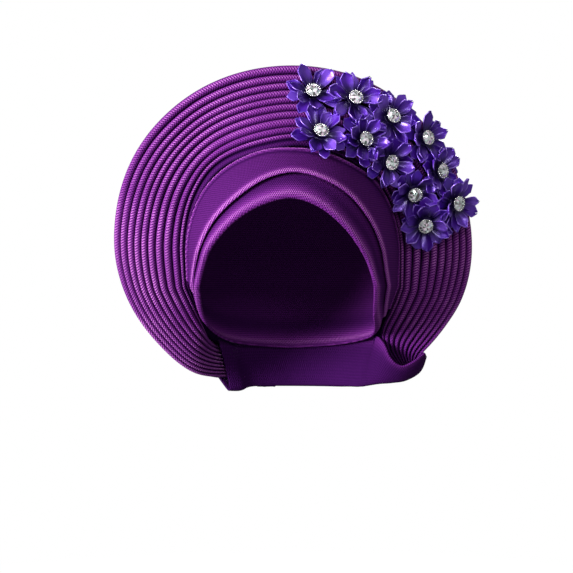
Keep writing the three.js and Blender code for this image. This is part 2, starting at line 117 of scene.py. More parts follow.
PLEAT_FULLNESS = 0.72  # below 1 the crest is fuller than a round one
VALLEY = -0.56  # the valleys' height, as a share of the depth
# A pleat's painted light below 1 is painted shade, deepest on the innermost pleat behind the band.
PLEATS = [  # pitch over the brow, pitch at the sides, height of the crest, painted light; inner edge to rim
    (7, 1.8, -0.30, 0.70), (5, 4, 0.16, 1.0), (7, 8.4, 0.36, 0.95), (9, 9, 0.42, 1.0),
    (8, 8.8, 0.44, 1.0), (8, 8.2, 0.44, 1.0), (7, 7.8, 0.44, 1.0), (8, 7.2, 0.44, 1.0),
    (8, 7, 0.44, 1.0), (9, 6.6, 0.46, 1.0), (10, 6.8, 0.48, 1.0),
]
BROW_PLEATS = {"angle": 110, "within": 25, "until": 75}  # where the pitch goes over from brow to sides
FIRST_PLEAT = {"depth": 0.5, "within": 0.12}  # share of the depth at the inner edge, and where it is full
TUCK_UNDER = {  # the turned-in edge that lies on the cap
    "rows": 6, "back": 9.0, "up": 9.0, "clear": 1.4, "over_edge": 3.0, "sink": 22.0, "slope": 0.35,
    # Painted shade on the turned-in edge.
    "light_share": 0.1,
}
BROW_SHADE = {"depth": 0.05, "grooves": 1.45}  # over the brow the pleats lie darker, with wider grooves
RIGHT_TUCK_SHADE = {"from": 0.78, "to": 0.92, "depth": 0.38}  # shares of the way along, loss of tone
HAND_FOLDED = {  # how far pleats rise and drift, their waves, and where each is read in the noise
    "rise": 0.07, "drift": 0.05, "waves": 7.0, "apart": 3.7, "drift_at": 0.5, "rise_at": 9.5,
}

# The nape wrap: the top of its front wall, its fold, and the top of the flap behind the pleat ends.
WRAP_GRID = (170, 40)
WRAP_BELLY = {"down": 0.55, "out": 0.06}
WRAP_WEAVE = {"column": 40, "row": 12}  # the lines of the grid along which the weave is measured
WRAP_SECTIONS = [  # front, fold, flap
    ((102.5, 19, -51), (104, 26, -54.5), (103, 35, -51)),
    ((95, 15, -57), (99.5, 26, -65.5), (97, 40, -52)),
    ((85, 14, -61), (89, 26, -72), (87, 41, -54)),
    ((77, 13, -55), (78, 27, -74), (78, 43, -52)),
    ((72.5, 15, -45), (68, 32, -75), (70, 48, -54)),
    ((68, 26, -39), (59, 42, -77), (62, 54, -62)),
    ((65, 51, -38), (51, 55, -79), (51, 58.5, -74)),
    ((40, 86, -38), (31, 75, -79), (31, 77, -77.5)),
    ((0, 100.4, -38), (0, 82, -79), (0, 84, -77.5)),
    ((-40, 86, -38), (-31, 75, -79), (-31, 77, -77.5)),
    ((-54, 70, -37), (-41, 66, -82), (-58, 86, -63)),
    ((-61, 60, -36), (-50, 62, -82), (-70, 78, -58)),
]

# Painted light and shade on the cloth, from painted shade in a valley (0) to a lit crest (1):
# plain cloth, and its gain along the edges.
PLAIN_PAINTED_LIGHT = 0.62
# Painted highlight along the cap's rolled hem, and painted shade from the band above it.
CAP_PAINTED_LIGHT = [(4.0, 4.5, 0.30), (17.0, 6.0, -0.10)]  # distance from the edge, width, gain
# Painted highlight along the band's lower fold and piping, painted shade in the gap below the piping.
BAND_FOLD_PAINTED_LIGHT = [(2.0, 2.6, 0.38)]
BAND_HEM_PAINTED_LIGHT = [(1.2, 1.0, 0.40), (4.2, 1.6, -0.15)]
# Painted highlight along the wrap's edge.
WRAP_EDGE_PAINTED_LIGHT = [(0.0, 4.0, 0.20)]
WRAP_PAINTED_SHADE = 0.15  # painted shade over all the wrap's plain cloth

# Ribbon flowers: tiers of petals round a pad, each petal drawn by its outline and its rise.
FLOWERS = 11
PETAL_GRID = (14, 10)
PETAL_START = 4.4
PETAL_OUTLINE = [(0, 1.6), (0.25, 3.2), (0.5, 4.5)]  # share of the length, half width
PETAL_CORNERS = (0.64, 0.86)  # share of the length at which a petal turns in to its tip
PETAL_WIDEST = 4.9
PETAL_TIP = 0.3
PETAL_RISE = [(0, 0.6), (0.3, 1.2), (0.58, 2.6), (0.8, 4.2), (1, 5.6)]  # share, height
PETAL_CUP = (0.2, 2.6)  # how high a petal's sides rise in a curve, at the least and at the most
PETAL_CREASE = (0.5, 2.1)  # and how high by the crease along its middle
PETAL_CURL_END = 0.8  # share of the length from which the sides keep their height
PETAL_TIERS = [  # petals, turn of the first, reach past the solid, lift, steepness
    (8, 22.5, 3.8, 0.2, 0.30), (4, 0.0, 2.2, 0.6, 1.0), (4, 45.0, 1.2, 1.6, 1.6),
]
PETAL_FLOOR = {  # petals are pressed flat below a height that grows by a share of the rise
    "height": 1.3, "slope": 0.5, "press": 0.12,
}
PETAL_SHEEN_SHARES = (0.0, 0.0, 0.0, 0.1, 0.3, 0.7)  # a petal's share of painted sheen is one of these
PETAL_SPREAD = {"turn": 10.0, "tilt": 11.0, "roll": 24.0, "length": 0.12}
SOLID_TIP = 3.0  # corners this near the farthest one belong to the same petal of the solid
FLOWER_PAD = {"radius": 6.4, "top": 5.6, "height": 2.6, "sides": 28, "round": 0.4, "round_steps": 2}
STONE_SEAT = 3.8  # the stone's base over the flower's base

# Cut stones in beaded cups.
STONE = {"girdle": 5.0, "table": 2.9, "crown": 1.9, "girdle_z": 2.8, "peak": 0.25, "sides": 12}
FACET_REFLECTIONS = (0.05, 0.25, 0.5, 0.75, 1.0, 1.0)  # a facet's painted reflection is one of these
CUP_PROFILE = [(0, 0), (4.4, 0), (5.5, 2.2), (5.6, 2.9), (5.0, 3.1), (4.6, 2.4)]  # radius, height
CUP_STEPS = 40
BEADS = {"count": 20, "ring": 5.35, "z": 3.05, "radius": 0.62, "around": 8, "up": 5}

# Colours in linear light.
# The valley colour is painted shade, the crest colour painted light, the thread colour a painted glint.
VALLEY_SHADE_COLOUR = (0.010, 0.0005, 0.024)
GROUND_COLOUR = (0.085, 0.008, 0.140)
CREST_LIT_COLOUR = (0.185, 0.028, 0.240)
THREAD_GLINT_COLOUR = (0.44, 0.14, 0.47)
# Satin: painted shade at the root, painted sheen on some petals, a painted highlight along the rim.
SATIN_ROOT_SHADE = (0.012, 0.002, 0.060)
SATIN_FACE = (0.088, 0.012, 0.375)
SATIN_SHEEN = (0.25, 0.11, 0.68)
SATIN_RIM_HIGHLIGHT = (0.36, 0.21, 0.76)
# Stones: painted reflections from dark to bright, tinted by a painted pink to green iridescence.
STONE_DARK_REFLECTION = (0.06, 0.065, 0.06)
STONE_BRIGHT_REFLECTION = (0.95, 0.97, 0.96)
STONE_PINK = (1.0, 0.72, 0.90)
STONE_GREEN = (0.78, 1.0, 0.93)
METAL_DULL = (0.55, 0.55, 0.53)
METAL_BRIGHT = (0.88, 0.88, 0.86)
PAPER_WHITE = (0.9, 0.9, 0.9, 1)

# Finishes. A ramp says where a share begins and where it is full.
WEAVE = {
    "specular": 0.03, "roughness": 0.75, "glint_gloss": 0.25,
    "slant": 0.65,  # the share of the hatch that slants one way; the rest slants back
    "between": 0.3,  # the share of ground colour between threads
    "patch_scale": 22.0, "patch_detail": 3.0, "patch_least": 0.8, "patch_gain": 0.6,
    "relief": 0.7, "bump": 0.8, "bump_height": 0.0006,
}
WEAVE_RAMPS = {
    "thread": (0.2, 0.8), "patch": (0.35, 0.7), "ground": (0.2, 0.9), "crest": (0.45, 1.0),
    "glint_thread": (0.45, 0.8), "glint_crest": (0.82, 1.0),
}
SATIN_GLOSS = {
    "Metallic": 0.35, "Specular_IOR_Level": 0.5, "Coat_Weight": 0.3, "Coat_Roughness": 0.2,
    "Coat_Tint": (0.75, 0.55, 1, 1),
}
SATIN_STREAKS = {
    "scale": (2.0, 38.0, 1.0), "detail": 2.0, "least": 0.6, "gain": 0.6, "relief": 0.5,
    "bump": 0.25, "bump_height": 0.0004, "roughness": 0.28, "roughening": 0.16,
}
SATIN_RAMPS = {
    "face": (0.1, 0.75), "light": (0.2, 0.8), "rim": (0.86, 1.0), "rim_along": (0.2, 0.7),
    "rim_patch": (0.4, 0.65),
}
# Where the rim's painted highlight shows.
RIM_PATCHES = {"scale": 140.0, "detail": 1.0}
# Emission gives the stones a faint painted glow.
STONE_GLOSS = {
    "Roughness": 0.05, "Metallic": 0.35, "IOR": 1.6, "Coat_Weight": 0.6, "Emission_Strength": 0.10,
}
METAL_WEAR = {"scale": 900.0, "detail": 2.0, "roughness": 0.16, "roughening": 0.2}
PAPER_ROUGHNESS = 0.9

# The studio, in metres.
FLOOR = {"z": -0.26, "radius": 3, "sides": 96, "shadows_until": (0.15, 0.5)}
BACKDROP = {"radius": 8, "around": 48, "up": 24, "shadows_until": (1, 2)}
AMBIENT = 0.34
LIGHT_AIM = (0, 0, 0.04)
LIGHTS = [  # name, place, size, power
    ("key", (-2.3, -1.65, 0.55), 1.1, 215),
    ("glint", (0.2, -2.0, 1.0), 0.5, 12),
    ("back", (0.9, 1.9, 1.3), 1.2, 60),
]
CAMERA = {"place": (-0.0042, -1.5, 0), "lens": 122.7, "sensor": 36}

random.seed(11)


def spline(rows, shares):
    """Smooth values through evenly spaced rows, at shares from 0 to 1."""
    rows = np.asarray(rows, float)
    spans = len(rows) - 1
    place = np.clip(shares, 0, 1) * spans
    i = np.minimum(place.astype(int), spans - 1)
    f = (place - i)[:, None]
    p0, p1, p2, p3 = (rows[np.clip(i + k, 0, spans)] for k in (-1, 0, 1, 2))
    square = 2 * p0 - 5 * p1 + 4 * p2 - p3
    cube = 3 * p1 - p0 - 3 * p2 + p3
    return p1 + ((p2 - p0) * f + square * f**2 + cube * f**3) / 2


def blend(a, b, share):
    return a + (b - a) * share


def unit(vectors):
    return vectors / np.linalg.norm(vectors, axis=-1, keepdims=True)


def laid_along(line):
    """The length of cloth from the start of a line to each of its points, in metres."""
    steps = np.linalg.norm(np.diff(line, axis=0, prepend=line[:1]), axis=-1)
    return np.cumsum(steps, 0) * MM


def climb_to(z):
    """The length up the hollow's wall from its widest level to a height."""
    rise = np.clip((z - WIDEST_Z) / CROWN_RISE, 0, 1)
    return np.where(z < WIDEST_Z, z - WIDEST_Z, CROWN_RISE * np.arcsin(rise))


def head_points(azimuth, climb, offset):
    """Points of the head hollow's wall, moved outwards by offset."""
    dome = np.maximum(climb, 0) / CROWN_RISE
    over = WIDEST_Z + (CROWN_RISE + offset) * np.sin(dome)
    z = np.where(climb > 0, over, WIDEST_Z + climb)
    levels, *sizes = np.transpose(HEAD_SECTIONS)
    half_width, centre_y, half_length = (np.interp(z, levels, size) for size in sizes)
    a = np.radians(azimuth)
    x = (half_width + offset) * np.cos(dome) * np.sin(a)
    y = centre_y - (half_length + offset) * np.cos(dome) * np.cos(a)
    return np.stack([x, y, z], -1)


def edge_painted_light(distance, rows):
    """The gain in painted light at a distance from an edge, by rows of where it peaks, its width and its
    gain; a negative gain paints shade.
    """
    return sum(gain * np.exp(-(((distance - peak) / width) ** 2)) for peak, width, gain in rows)


def grid_shares(columns, rows):
    return np.linspace(0, 1, columns + 1)[:, None], np.linspace(0, 1, rows + 1)[None, :]


def mesh_object(name, bm, material):
    """The object of a finished bmesh, at the origin."""
    mesh = bpy.data.meshes.new(name)
    bm.to_mesh(mesh)
    bm.free()
    mesh.materials.append(material)
    piece = bpy.data.objects.new(name, mesh)
    bpy.context.scene.collection.objects.link(piece)
    return piece


def smooth_faces(bm):
    for face in bm.faces:
        face.smooth = True


def new_piece(name, bm, material, node):
    """A piece of the object, riding on the root in place of its solid."""
    piece = mesh_object(name, bm, material)
    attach(piece, "root")
    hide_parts(node)
    return piece


def add_wall(piece, wall):
    """Gives a sheet its thickness, on its inner side."""
    thickness = piece.modifiers.new("wall", "SOLIDIFY")
    thickness.thickness = wall * MM
    thickness.offset = -1


def cloth_sheet(name, points, uv, crest, wall, material, node):
    """A sheet of cloth on a grid of points. uv(i, j, row) places a corner of the weave in metres, where
    row is the row of cells that the corner belongs to; the next argument gives each point its painted
    light, from painted shade at 0 to full painted light at 1."""
    columns, rows = points.shape[0] - 1, points.shape[1] - 1
    bm = bmesh.new()
    weave = bm.loops.layers.uv.verify()
    # Each point's painted light and shade, read by the cloth's finish.
    painted_light_layer = bm.verts.layers.float.new("crest")
    bmesh.ops.create_grid(bm, x_segments=columns, y_segments=rows, size=0.5, calc_uvs=True)
    place = {}
    for vert in bm.verts:
        i, j = round((vert.co.x + 0.5) * columns), round((vert.co.y + 0.5) * rows)
        place[vert.index] = (i, j)
        vert[painted_light_layer] = crest[i, j]
    for face in bm.faces:
        row = min(place[vert.index][1] for vert in face.verts)
        for loop in face.loops:
            loop[weave].uv = uv(*place[loop.vert.index], row)
    for vert in bm.verts:
        vert.co = points[place[vert.index]] * MM
    bmesh.ops.remove_doubles(bm, verts=bm.verts, dist=SAME_PLACE * MM)
    smooth_faces(bm)
    piece = new_piece(name, bm, material, node)
    add_wall(piece, wall)
    return piece


class Value:
    """One output of a finish's nodes. Arithmetic on it adds Math nodes."""

    def __init__(self, finish, socket):
        self.finish, self.socket = finish, socket

    def math(self, operation, a, b=0.0):
        return self.finish.node("ShaderNodeMath", {"operation": operation}, {0: a, 1: b})

    def __add__(self, other):
        return self.math("ADD", self, other)

    def __sub__(self, other):
        return self.math("SUBTRACT", self, other)

    def __rsub__(self, other):
        return self.math("SUBTRACT", other, self)

    def __mul__(self, other):
        return self.math("MULTIPLY", self, other)

    def __truediv__(self, other):
        return self.math("DIVIDE", self, other)

    def __abs__(self):
        return self.math("ABSOLUTE", self)

    __radd__ = __add__

    def wave(self):
        """A wave from 0 to 1 that repeats each time the value grows by 1."""
        return self.math("SINE", self * (2 * math.pi)) * 0.5 + 0.5

    def ramp(self, low, high):
        """0 below low, 1 above high and smooth between."""
        spans = {"From Min": low, "From Max": high}
        return self.finish.node(
            "ShaderNodeMapRange", {"interpolation_type": "SMOOTHSTEP"}, {"Value": self, **spans})


class Finish:
    """A procedural material on a Principled shader."""

    def __init__(self, name, **constants):
        self.material = bpy.data.materials.new(name)
        self.material.use_nodes = True
        self.tree = self.material.node_tree
        self.shader = self.tree.nodes["Principled BSDF"]
        for socket, value in constants.items():
            self.shader.inputs[socket.replace("_", " ")].default_value = value

    def node(self, kind, settings=(), inputs=(), output=0):
        """One output of a new node, with its settings made and then its sockets filled or linked."""
        node = self.tree.nodes.new(kind)
        for name, value in dict(settings).items():
            setattr(node, name, value)
        for key, value in dict(inputs).items():
            if isinstance(value, Value):
                self.tree.links.new(value.socket, node.inputs[key])
            else:
                node.inputs[key].default_value = value
        return Value(self, node.outputs[output])

    def mix(self, share, low, high, how="MIX"):
        """Two colours mixed by a share."""
        settings = {"data_type": "RGBA", "blend_type": how}
        colours = {6: low, 7: high}
        for key, colour in colours.items():
            if not isinstance(colour, Value):
                colours[key] = (*colour, 1)
        return self.node("ShaderNodeMix", settings, {0: share, **colours}, output=2)

    def uv(self):
        """The weave's place along and across the cloth."""
        place = self.node("ShaderNodeTexCoord", output="UV")
        return [self.node("ShaderNodeSeparateXYZ", (), {0: place}, output=k) for k in (0, 1)]

    def attribute(self, name):
        return self.node("ShaderNodeAttribute", {"attribute_name": name}, output="Fac")

    def noise(self, scale, detail):
        place = self.node("ShaderNodeTexCoord", output="Object")
        return self.node("ShaderNodeTexNoise", (), {"Vector": place, "Scale": scale, "Detail": detail})

    def bump(self, height, strength, distance):
        return self.node(
            "ShaderNodeBump", (), {"Strength": strength, "Distance": distance, "Height": height})

    def feed(self, **inputs):
        """The finished material, with what varies over the surface linked to the shader."""
        for name, value in inputs.items():
            self.tree.links.new(value.socket, self.shader.inputs[name.replace("_", " ")])
        return self.material


def woven_cloth(name, hatch, rib, hatch_share, sparkle, chevron=False):
    """Stiff cloth with a fine rib and a slanting hatch of brighter thread. Light and shade are painted
    into its colour: painted shade in the valleys, a lit colour on the crests and a painted highlight
    where the thread glints along crests and hems. hatch is the pitch of the slanting threads along and
    across and rib the pitch of the ribs, in metres, and sparkle the least share of painted glints. As a
    chevron, the hatch turns at the middle of each pleat."""
    cloth = Finish(name, Specular_IOR_Level=WEAVE["specular"])
    along, across = cloth.uv()
    if chevron:
        across = abs(across)
    crest = cloth.attribute("crest")
    slant = (along / hatch[0] - across / hatch[1]).wave()
    counter = (along / hatch[0] + across / hatch[1]).wave()
    ribs = (across / rib).wave()
    ramps = WEAVE_RAMPS
    slanting, countering, ribbing = (lines.ramp(*ramps["thread"]) for lines in (slant, counter, ribs))
    hatching = slanting * WEAVE["slant"] + countering * (1 - WEAVE["slant"])
    threads = hatching * hatch_share + ribbing * (1 - hatch_share)
    patches = cloth.noise(WEAVE["patch_scale"], WEAVE["patch_detail"])
    bright = sparkle + patches.ramp(*ramps["patch"]) * (1 - sparkle)
    # Painted shade in the valleys, a painted lit colour on the crests and painted glints of thread on them.
    ground = crest.ramp(*ramps["ground"]) * (WEAVE["between"] + threads * (1 - WEAVE["between"]))
    lit = crest.ramp(*ramps["crest"]) * threads * (WEAVE["patch_least"] + patches * WEAVE["patch_gain"])
    glint = slant.ramp(*ramps["glint_thread"]) * crest.ramp(*ramps["glint_crest"]) * bright
    colour = cloth.mix(ground, VALLEY_SHADE_COLOUR, GROUND_COLOUR)
    colour = cloth.mix(lit, colour, CREST_LIT_COLOUR)
    colour = cloth.mix(glint, colour, THREAD_GLINT_COLOUR)
    height = threads * WEAVE["relief"] + counter * (1 - WEAVE["relief"])
    return cloth.feed(
        Base_Color=colour,
        Roughness=WEAVE["roughness"] - glint * WEAVE["glint_gloss"],
        Normal=cloth.bump(height, WEAVE["bump"], WEAVE["bump_height"]),
    )


def satin_ribbon():
    """Glossy ribbon, with painted shade at a petal's root, a painted highlight along parts of its rim and
    a painted sheen on some petals.
    """
    satin = Finish("satin_ribbon", **SATIN_GLOSS)
    along, across = satin.uv()
    place = satin.node("ShaderNodeTexCoord", output="UV")
    drawn_out = satin.node("ShaderNodeMapping", (), {"Vector": place, "Scale": SATIN_STREAKS["scale"]})
    streaks = satin.node(
        "ShaderNodeTexNoise", (), {"Vector": drawn_out, "Scale": 1.0, "Detail": SATIN_STREAKS["detail"]})
    ramps = SATIN_RAMPS
    # Painted shade towards the petal's root, then painted sheen on some petals.
    light_share = along.ramp(*ramps["face"]) * (SATIN_STREAKS["least"] + streaks * SATIN_STREAKS["gain"])
    face = satin.mix(light_share, SATIN_ROOT_SHADE, SATIN_FACE)
    face = satin.mix(satin.attribute("petal_sheen") * along.ramp(*ramps["light"]), face, SATIN_SHEEN)
    patches = satin.noise(**RIM_PATCHES).ramp(*ramps["rim_patch"])
    # Painted highlight along parts of the rim.
    rim = abs(across * 2 - 1).ramp(*ramps["rim"]) * along.ramp(*ramps["rim_along"]) * patches
    height = streaks * SATIN_STREAKS["relief"] + rim
    return satin.feed(
        Base_Color=satin.mix(rim, face, SATIN_RIM_HIGHLIGHT),
        Roughness=SATIN_STREAKS["roughness"] + streaks * SATIN_STREAKS["roughening"],
        Normal=satin.bump(height, SATIN_STREAKS["bump"], SATIN_STREAKS["bump_height"]),
    )


def cut_stone():
    """Foil-backed clear stone: each facet gets a painted reflection, from dark to bright, tinted faintly
    pink to green by a painted iridescence of its coat, and the same colour is painted in as a faint glow.
    """
    stone = Finish("cut_stone", **STONE_GLOSS)
    clear = stone.mix(stone.attribute("facet_reflection"), STONE_DARK_REFLECTION, STONE_BRIGHT_REFLECTION)
    tint = stone.mix(stone.attribute("tint"), STONE_PINK, STONE_GREEN)
    painted_reflection = stone.mix(1.0, clear, tint, "MULTIPLY")
    return stone.feed(Base_Color=painted_reflection, Emission_Color=painted_reflection)


def bright_metal():
    """Pressed metal, finely worn."""
    metal = Finish("bright_metal", Metallic=1.0)
    worn = metal.noise(METAL_WEAR["scale"], METAL_WEAR["detail"])
    return metal.feed(
        Base_Color=metal.mix(worn, METAL_DULL, METAL_BRIGHT),
        Roughness=METAL_WEAR["roughness"] + worn * METAL_WEAR["roughening"])


FAN_CLOTH = woven_cloth(
    "fan_cloth", hatch=(0.0021, 0.0036), rib=0.0019, hatch_share=0.9, sparkle=0.1, chevron=True)
BAND_CLOTH = woven_cloth("band_cloth", hatch=(0.0019, 0.0028), rib=0.0017, hatch_share=0.6, sparkle=0.7)
WRAP_CLOTH = woven_cloth("wrap_cloth", hatch=(0.0017, 0.0027), rib=0.0012, hatch_share=0.75, sparkle=0.0)
SATIN = satin_ribbon()
CRYSTAL = cut_stone()
METAL = bright_metal()


def make_cap():
    """The fitted cap, with a puffed hem that rolls under at its edge."""
    u, v = grid_shares(*CAP_GRID)
    v = v**CAP_CROWDING
    azimuth, z = spline(CAP_EDGE, u[:, 0]).T[:, :, None]
    low = climb_to(z)
    climb = blend(low, CROWN_RISE * math.pi / 2, v)
    away = climb - low
    roll = np.sqrt(np.clip(1 - (1 - away / CAP_HEM["roll"]).clip(0) ** 2, 0, 1))
    puff = CAP_HEM["puff"] * np.clip(1 - away / CAP_HEM["fade"], 0, 1)
    offset = CAP_WALL + puff - (CAP_HEM["tuck"] + CAP_HEM["puff"]) * (1 - roll)
    points = head_points(azimuth + 0 * v, climb, offset)
    # Painted highlight on the hem, painted shade under the band.
    crest = PLAIN_PAINTED_LIGHT + edge_painted_light(away, CAP_PAINTED_LIGHT)
    spread = WIDEST_RADIUS * np.radians(azimuth + 0 * v) * MM
    up = climb * MM
    cap = cloth_sheet(
        "cap_cloth", points, lambda i, j, row: (spread[i, j], up[i, j]), crest, CAP_WALL, BAND_CLOTH, "cap")


def make_front_band():
    """The band over the brow, folded at its lower edge and piped along its upper one."""
    u, v = grid_shares(*BAND_GRID)
    v = (1 - np.cos(math.pi * v)) / 2
    low_azimuth, low_z, high_azimuth, high_z = spline(BAND_EDGES, u[:, 0]).T[:, :, None]
    azimuth = blend(low_azimuth, high_azimuth, v)
    low, high = climb_to(low_z), climb_to(high_z)
    climb = blend(low, high, v)
    stand_off = BAND_STAND_OFF * np.sin(math.pi * u) * (1 - v) ** 2
    flat = head_points(azimuth, climb, CAP_WALL + BAND_LIFT)
    width = np.linalg.norm(flat[:, -1] - flat[:, 0], axis=-1)[:, None]
    from_fold, from_hem = v * width, (1 - v) * width
    fold = (1 - from_fold / BAND_FOLD["within"]).clip(0)
    piping = 1 - ((from_hem - BAND_PIPING["inset"]) / BAND_PIPING["half_width"]) ** 2
    offset = CAP_WALL + BAND_LIFT + stand_off + BAND_WALL
    offset = offset - BAND_FOLD["drop"] * fold**2 + BAND_PIPING["height"] * np.sqrt(piping.clip(0))
    points = head_points(azimuth, climb, offset)
    # Painted highlight along the fold and the piping, painted shade below the piping.
    crest = PLAIN_PAINTED_LIGHT + edge_painted_light(from_fold, BAND_FOLD_PAINTED_LIGHT) + edge_painted_light(from_hem, BAND_HEM_PAINTED_LIGHT)
    spread = WIDEST_RADIUS * np.radians(azimuth) * MM
    up = climb * MM
    band = cloth_sheet(
        "front_band_cloth", points, lambda i, j, row: (spread[i, j], up[i, j]), crest.clip(0, 1),
        BAND_WALL, BAND_CLOTH, "front_band")


def pleat_rows():
    """Every row of the pleated cloth, from the inner edge to the rim: which pleat it belongs to, its
    place across the fan over the brow and at the sides, its height, how far it stands out of the
    valley and its painted light, with painted shade in the valley."""
    over_brow, at_sides = np.sum(PLEATS, 0)[:2]
    angles = np.linspace(-math.pi / 2, math.pi / 2, PLEAT_STEPS + 1)
    rows, brow, side = [], 0.0, 0.0
    for pleat, (brow_pitch, side_pitch, top, light_share) in enumerate(PLEATS):
        for angle in angles[1 if pleat else 0:]:
            share = 0.5 + 0.5 * math.sin(angle)
            swell = math.cos(angle) ** PLEAT_FULLNESS if abs(angle) < math.pi / 2 else 0.0
            rows.append((
                pleat, (brow + brow_pitch * share) / over_brow, (side + side_pitch * share) / at_sides,
                blend(VALLEY, top, swell), swell, swell * light_share))
        brow, side = brow + brow_pitch, side + side_pitch
    return np.array(rows)


def hand_folds(along):
    """How far each pleat drifts and rises along the fan, from -1 to 1."""
    drift, lift = (
        np.array([
            [noise.noise(Vector((share * HAND_FOLDED["waves"], HAND_FOLDED["apart"] * k, HAND_FOLDED[at])))
             for k in range(len(PLEATS))]
            for share in along])
        for at in ("drift_at", "rise_at"))
    return drift, lift


def arch(share):
    """0 at both ends, 1 in the middle."""
    return 4 * share * (1 - share)


def arch_slope(share):
    return 4 * (1 - 2 * share)


def tucked_edge(azimuth, z, a):
    """The line on the cap to which the fan's inner edge is turned in. It stays over the cap's own edge,
    and where the fan runs lower it sinks away from the cap into the wrap."""
    back, up = TUCK_UNDER["back"] * np.cos(a), TUCK_UNDER["up"] * np.sin(a).clip(0)
    edge_z = np.interp(azimuth + back, *np.transpose(CAP_EDGE))
    stop_z = edge_z + TUCK_UNDER["over_edge"]
    sunk = (stop_z - z).clip(0, TUCK_UNDER["sink"])
    climb = climb_to(np.maximum(z, stop_z) - sunk) + up
    return head_points(azimuth + back, climb, TUCK_UNDER["clear"] + TUCK_UNDER["slope"] * sunk)


def make_fan():
    """The fan of rope-like pleats, slightly uneven as folded by hand, with its inner edge turned in."""
    pleat, over_brow, at_sides, rise, swell, crest = pleat_rows().T[:, None, :]
    along = np.linspace(0, 1, FAN_COLUMNS + 1)
    azimuth, z, clear, angle, radius, y, bow = spline(FAN_SECTIONS, along).T
    inner = head_points(azimuth, climb_to(z), clear)[:, None]
    a = np.radians(angle)
    rim_x, rim_z = FAN_CENTRE[0] + radius * np.cos(a), FAN_CENTRE[1] + radius * np.sin(a)
    out = np.stack([rim_x, y, rim_z], -1)[:, None] - inner
    aside = (abs(angle - BROW_PLEATS["angle"]) - BROW_PLEATS["within"]) / BROW_PLEATS["until"]
    aside = aside.clip(0, 1)[:, None]
    across = blend(over_brow, at_sides, aside)
    which = pleat[0].astype(int)
    drift, lift = hand_folds(along)
    moved = across + HAND_FOLDED["drift"] * drift[:, which] * swell / len(PLEATS)
    surface = inner + out * moved[..., None]
    surface[..., 1] -= bow[:, None] * arch(moved)
    outwards = np.broadcast_to(out, surface.shape).copy()
    outwards[..., 1] -= bow[:, None] * arch_slope(moved)
    facing = unit(np.cross(np.gradient(surface, axis=0), outwards))
    depth = blend(PLEAT_DEPTH_AT_TUCK, PLEAT_DEPTH, np.sqrt(np.sin(math.pi * along).clip(0)))[:, None]
    shallow = blend(FIRST_PLEAT["depth"], 1, np.minimum(across / FIRST_PLEAT["within"], 1))
    height = depth * shallow * (rise + HAND_FOLDED["rise"] * lift[:, which] * swell)
    points = surface + facing * height[..., None]

    rows = TUCK_UNDER["rows"]
    turned = np.linspace(0, 1, rows + 1)[None, :-1, None]
    points = np.concatenate([blend(tucked_edge(azimuth, z, a)[:, None], points[:, :1], turned), points], 1)
    which = np.concatenate([np.zeros(rows, int), which])
    # Painted shade on the turned-in edge.
    crest = np.concatenate([np.full((1, rows), TUCK_UNDER["light_share"]), crest], 1)
    into_tuck = np.interp(along, (RIGHT_TUCK_SHADE["from"], RIGHT_TUCK_SHADE["to"]), (0, 1))[:, None]
    crest = crest * (1 - RIGHT_TUCK_SHADE["depth"] * into_tuck)
    brow = 1 - aside
    crest = (1 - BROW_SHADE["depth"] * brow) * crest ** blend(1, BROW_SHADE["grooves"], brow)

    run, laid = laid_along(points), laid_along(points[FAN_COLUMNS // 2])
    run = [run[:, which == k].mean(1) for k in range(len(PLEATS))]
    top = [laid[which == k].mean() for k in range(len(PLEATS))]
    row_pleat = which[1:]
    fan = cloth_sheet(
        "pleated_fan_cloth", points,
        lambda i, j, row: (run[row_pleat[row]][i], laid[j] - top[row_pleat[row]]),
        crest, FAN_WALL, FAN_CLOTH, "pleated_fan")


def wrap_section(corners, shares):
    """A smooth line through the corners of one section, with its pace eased by their distances."""
    ends = [2 * corners[0] - corners[1], *corners, 2 * corners[-1] - corners[-2]]
    pace = [np.linalg.norm(b - a) ** 0.5 for a, b in zip(ends, ends[1:])]
    spans = len(corners) - 1
    line = []
    for share in shares:
        i = min(int(share * spans), spans - 1)
        f = share * spans - i
        p0, p1, p2, p3 = ends[i:i + 4]
        d0, d1, d2 = pace[i:i + 3]
        leave = d1 * ((p1 - p0) / d0 - (p2 - p0) / (d0 + d1) + (p2 - p1) / d1)
        arrive = d1 * ((p2 - p1) / d1 - (p3 - p1) / (d1 + d2) + (p3 - p2) / d2)
        line.append(
            p1 + leave * f + (3 * (p2 - p1) - 2 * leave - arrive) * f**2
            + (2 * (p1 - p2) + leave + arrive) * f**3)
    return line


def make_nape_wrap():
    """The tail that cups the pleat ends at the right tuck and runs behind the neck to the left one."""
    u, v = grid_shares(*WRAP_GRID)
    front, fold, flap = (spline([row[k] for row in WRAP_SECTIONS], u[:, 0]) for k in range(3))
    belly = blend(front, fold, WRAP_BELLY["down"]) + (fold - flap) * WRAP_BELLY["out"]
    behind = blend(fold, flap, 0.5)
    sections = zip(front, belly, fold, behind, flap)
    inner = np.array([wrap_section(corners, v[0]) for corners in sections])
    facing = unit(np.cross(np.gradient(inner, axis=0), np.gradient(inner, axis=1)))
    points = inner + facing * WRAP_WALL
    laid_u = laid_along(points[:, WRAP_WEAVE["row"]])
    laid_v = laid_along(points[WRAP_WEAVE["column"]])
    # Painted shade over the wrap, with a painted highlight along its edge.
    crest = PLAIN_PAINTED_LIGHT - WRAP_PAINTED_SHADE + edge_painted_light(laid_v / MM, WRAP_EDGE_PAINTED_LIGHT) + 0 * u
    wrap = cloth_sheet(
        "nape_wrap_cloth", points, lambda i, j, row: (laid_u[i], laid_v[j]), crest,
        WRAP_WALL, WRAP_CLOTH, "nape_wrap")


